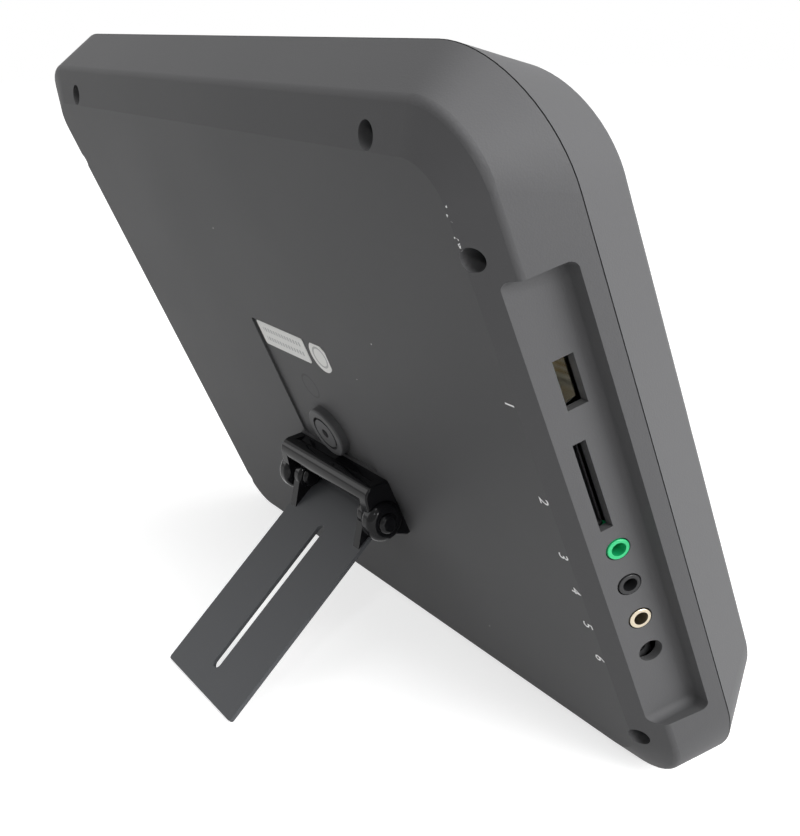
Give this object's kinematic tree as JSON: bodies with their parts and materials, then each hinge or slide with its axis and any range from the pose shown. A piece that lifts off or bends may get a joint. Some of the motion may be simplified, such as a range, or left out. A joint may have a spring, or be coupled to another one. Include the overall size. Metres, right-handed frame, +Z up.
{
  "type": "digital photo frame",
  "caption": "Digital photo frame with a rounded two-piece case, a recessed port bay in one side and a fold-out leg hinged on a bracket on its back.",
  "frame": {"origin": "on the table under the middle of the bounding box of the standing frame", "axes": "+X along the width, away from the port side; +Y from the screen to the leg; +Z up"},
  "size_m": [0.2548, 0.115, 0.1936],
  "materials": {
    "housing": "matte",
    "bezel": "matte",
    "gloss_black": "gloss",
    "leg_plastic": "satin",
    "glass": "gloss",
    "light_guide": "satin",
    "steel": "satin",
    "screw_steel": "satin",
    "brass": "satin",
    "rubber": "matte",
    "board": "satin",
    "chip": "matte",
    "cream": "satin",
    "green": "satin",
    "jack_black": "satin",
    "socket_black": "matte",
    "cable": "satin",
    "copper_brown": "satin",
    "paper": "matte",
    "infrared": "gloss"
  },
  "bodies": {
    "case": {"backlight": "light_guide", "black_jack": "jack_black", "board_screws": "screw_steel", "bracket_screws": "screw_steel", "capacitors": "chip", "card_socket": "socket_black", "display_gasket": "rubber", "display_glass": "glass", "display_screws": "screw_steel", "display_straps": "steel", "display_tray": "steel", "flat_cable": "cable", "foot_pads": "rubber", "front_bezel": "bezel", "green_jack": "green", "hinge_pins": "gloss_black", "hinge_washers": "gloss_black", "housing_screws": "screw_steel", "infrared_receiver": "chip", "infrared_window": "infrared", "inverter_board": "board", "label_sticker": "paper", "main_board": "board", "memory_chips": "chip", "metal_jack": "brass", "panel_socket": "cream", "power_inlet": "socket_black", "power_pin": "steel", "processor": "chip", "rear_housing": "housing", "round_plug": "gloss_black", "round_sticker": "paper", "speaker_magnets": "steel", "speakers": "socket_black", "stand_bracket": "gloss_black", "transformer": "copper_brown", "usb_shell": "brass", "usb_tongue": "cream"},
    "leg": {"leg": "leg_plastic", "leg_lugs": "gloss_black"}
  },
  "joints": [
    {"name": "leg_fold", "type": "hinge", "parent": "case", "child": "leg", "pos_m": [0, 0.00543, 0.05419], "axis": [-1, 0, 0], "range_deg": [0, 70.5]}
  ]
}
